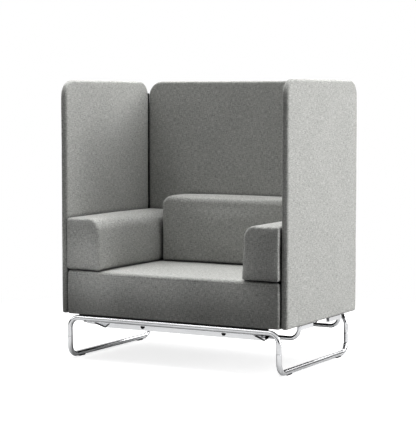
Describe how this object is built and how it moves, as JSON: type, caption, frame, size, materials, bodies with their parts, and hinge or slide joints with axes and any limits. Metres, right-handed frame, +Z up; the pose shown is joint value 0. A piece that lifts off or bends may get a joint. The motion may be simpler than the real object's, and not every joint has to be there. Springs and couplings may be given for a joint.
{
  "type": "acoustic high back lounge chair",
  "caption": "Upholstered lounge seat with arms and a back cushion, boxed in by tall padded screens, on a bent chrome tube frame with floor runners.",
  "frame": {"origin": "on the floor, under the middle of the whole chair's box", "axes": "+X to the right as seen from in front, +Y from the open front to the back screen, +Z up"},
  "size_m": [1.2, 0.802, 1.324],
  "materials": {
    "upholstery": "matte",
    "foam": "matte",
    "plywood": "matte",
    "webbing": "matte",
    "lining": "matte",
    "chrome": "polished",
    "black_steel": "satin",
    "black_plastic": "matte"
  },
  "bodies": {
    "root": {"front_frame_tube": "chrome", "rear_frame_tube": "chrome", "left_runner_tube": "chrome", "right_runner_tube": "chrome", "front_cross_tube": "chrome", "rear_cross_tube": "chrome", "front_tie_plate": "chrome", "rear_tie_plate": "chrome", "left_plate_plug": "black_plastic", "right_plate_plug": "black_plastic", "front_left_glide": "black_plastic", "front_right_glide": "black_plastic", "rear_left_glide": "black_plastic", "rear_right_glide": "black_plastic", "front_left_seat_spacer": "black_plastic", "front_right_seat_spacer": "black_plastic", "rear_left_seat_spacer": "black_plastic", "rear_right_seat_spacer": "black_plastic", "front_left_seat_bolt": "black_steel", "front_right_seat_bolt": "black_steel", "rear_left_seat_bolt": "black_steel", "rear_right_seat_bolt": "black_steel", "front_left_screen_shoe": "chrome", "front_right_screen_shoe": "chrome", "rear_left_screen_shoe": "chrome", "rear_right_screen_shoe": "chrome", "front_left_shoe_screw": "black_steel", "front_right_shoe_screw": "black_steel", "rear_left_shoe_screw": "black_steel", "rear_right_shoe_screw": "black_steel", "left_corner_post": "black_steel", "right_corner_post": "black_steel", "left_post_screw_side": "black_steel", "left_post_screw_back": "black_steel", "right_post_screw_side": "black_steel", "right_post_screw_back": "black_steel", "left_screen_cover": "upholstery", "right_screen_cover": "upholstery", "back_screen_cover": "upholstery", "left_screen_board": "plywood", "right_screen_board": "plywood", "back_screen_board": "plywood", "left_arm_cover": "upholstery", "left_arm_board": "plywood", "left_arm_foam": "foam", "left_arm_bolt": "black_steel", "right_arm_cover": "upholstery", "right_arm_board": "plywood", "right_arm_foam": "foam", "right_arm_bolt": "black_steel", "back_cushion_cover": "upholstery", "back_cushion_board": "plywood", "back_cushion_foam": "foam", "left_cushion_bolt": "black_steel", "right_cushion_bolt": "black_steel", "seat_cover": "upholstery", "seat_frame": "plywood", "seat_foam": "foam", "seat_webbing": "webbing", "seat_lining": "lining"}
  },
  "joints": []
}
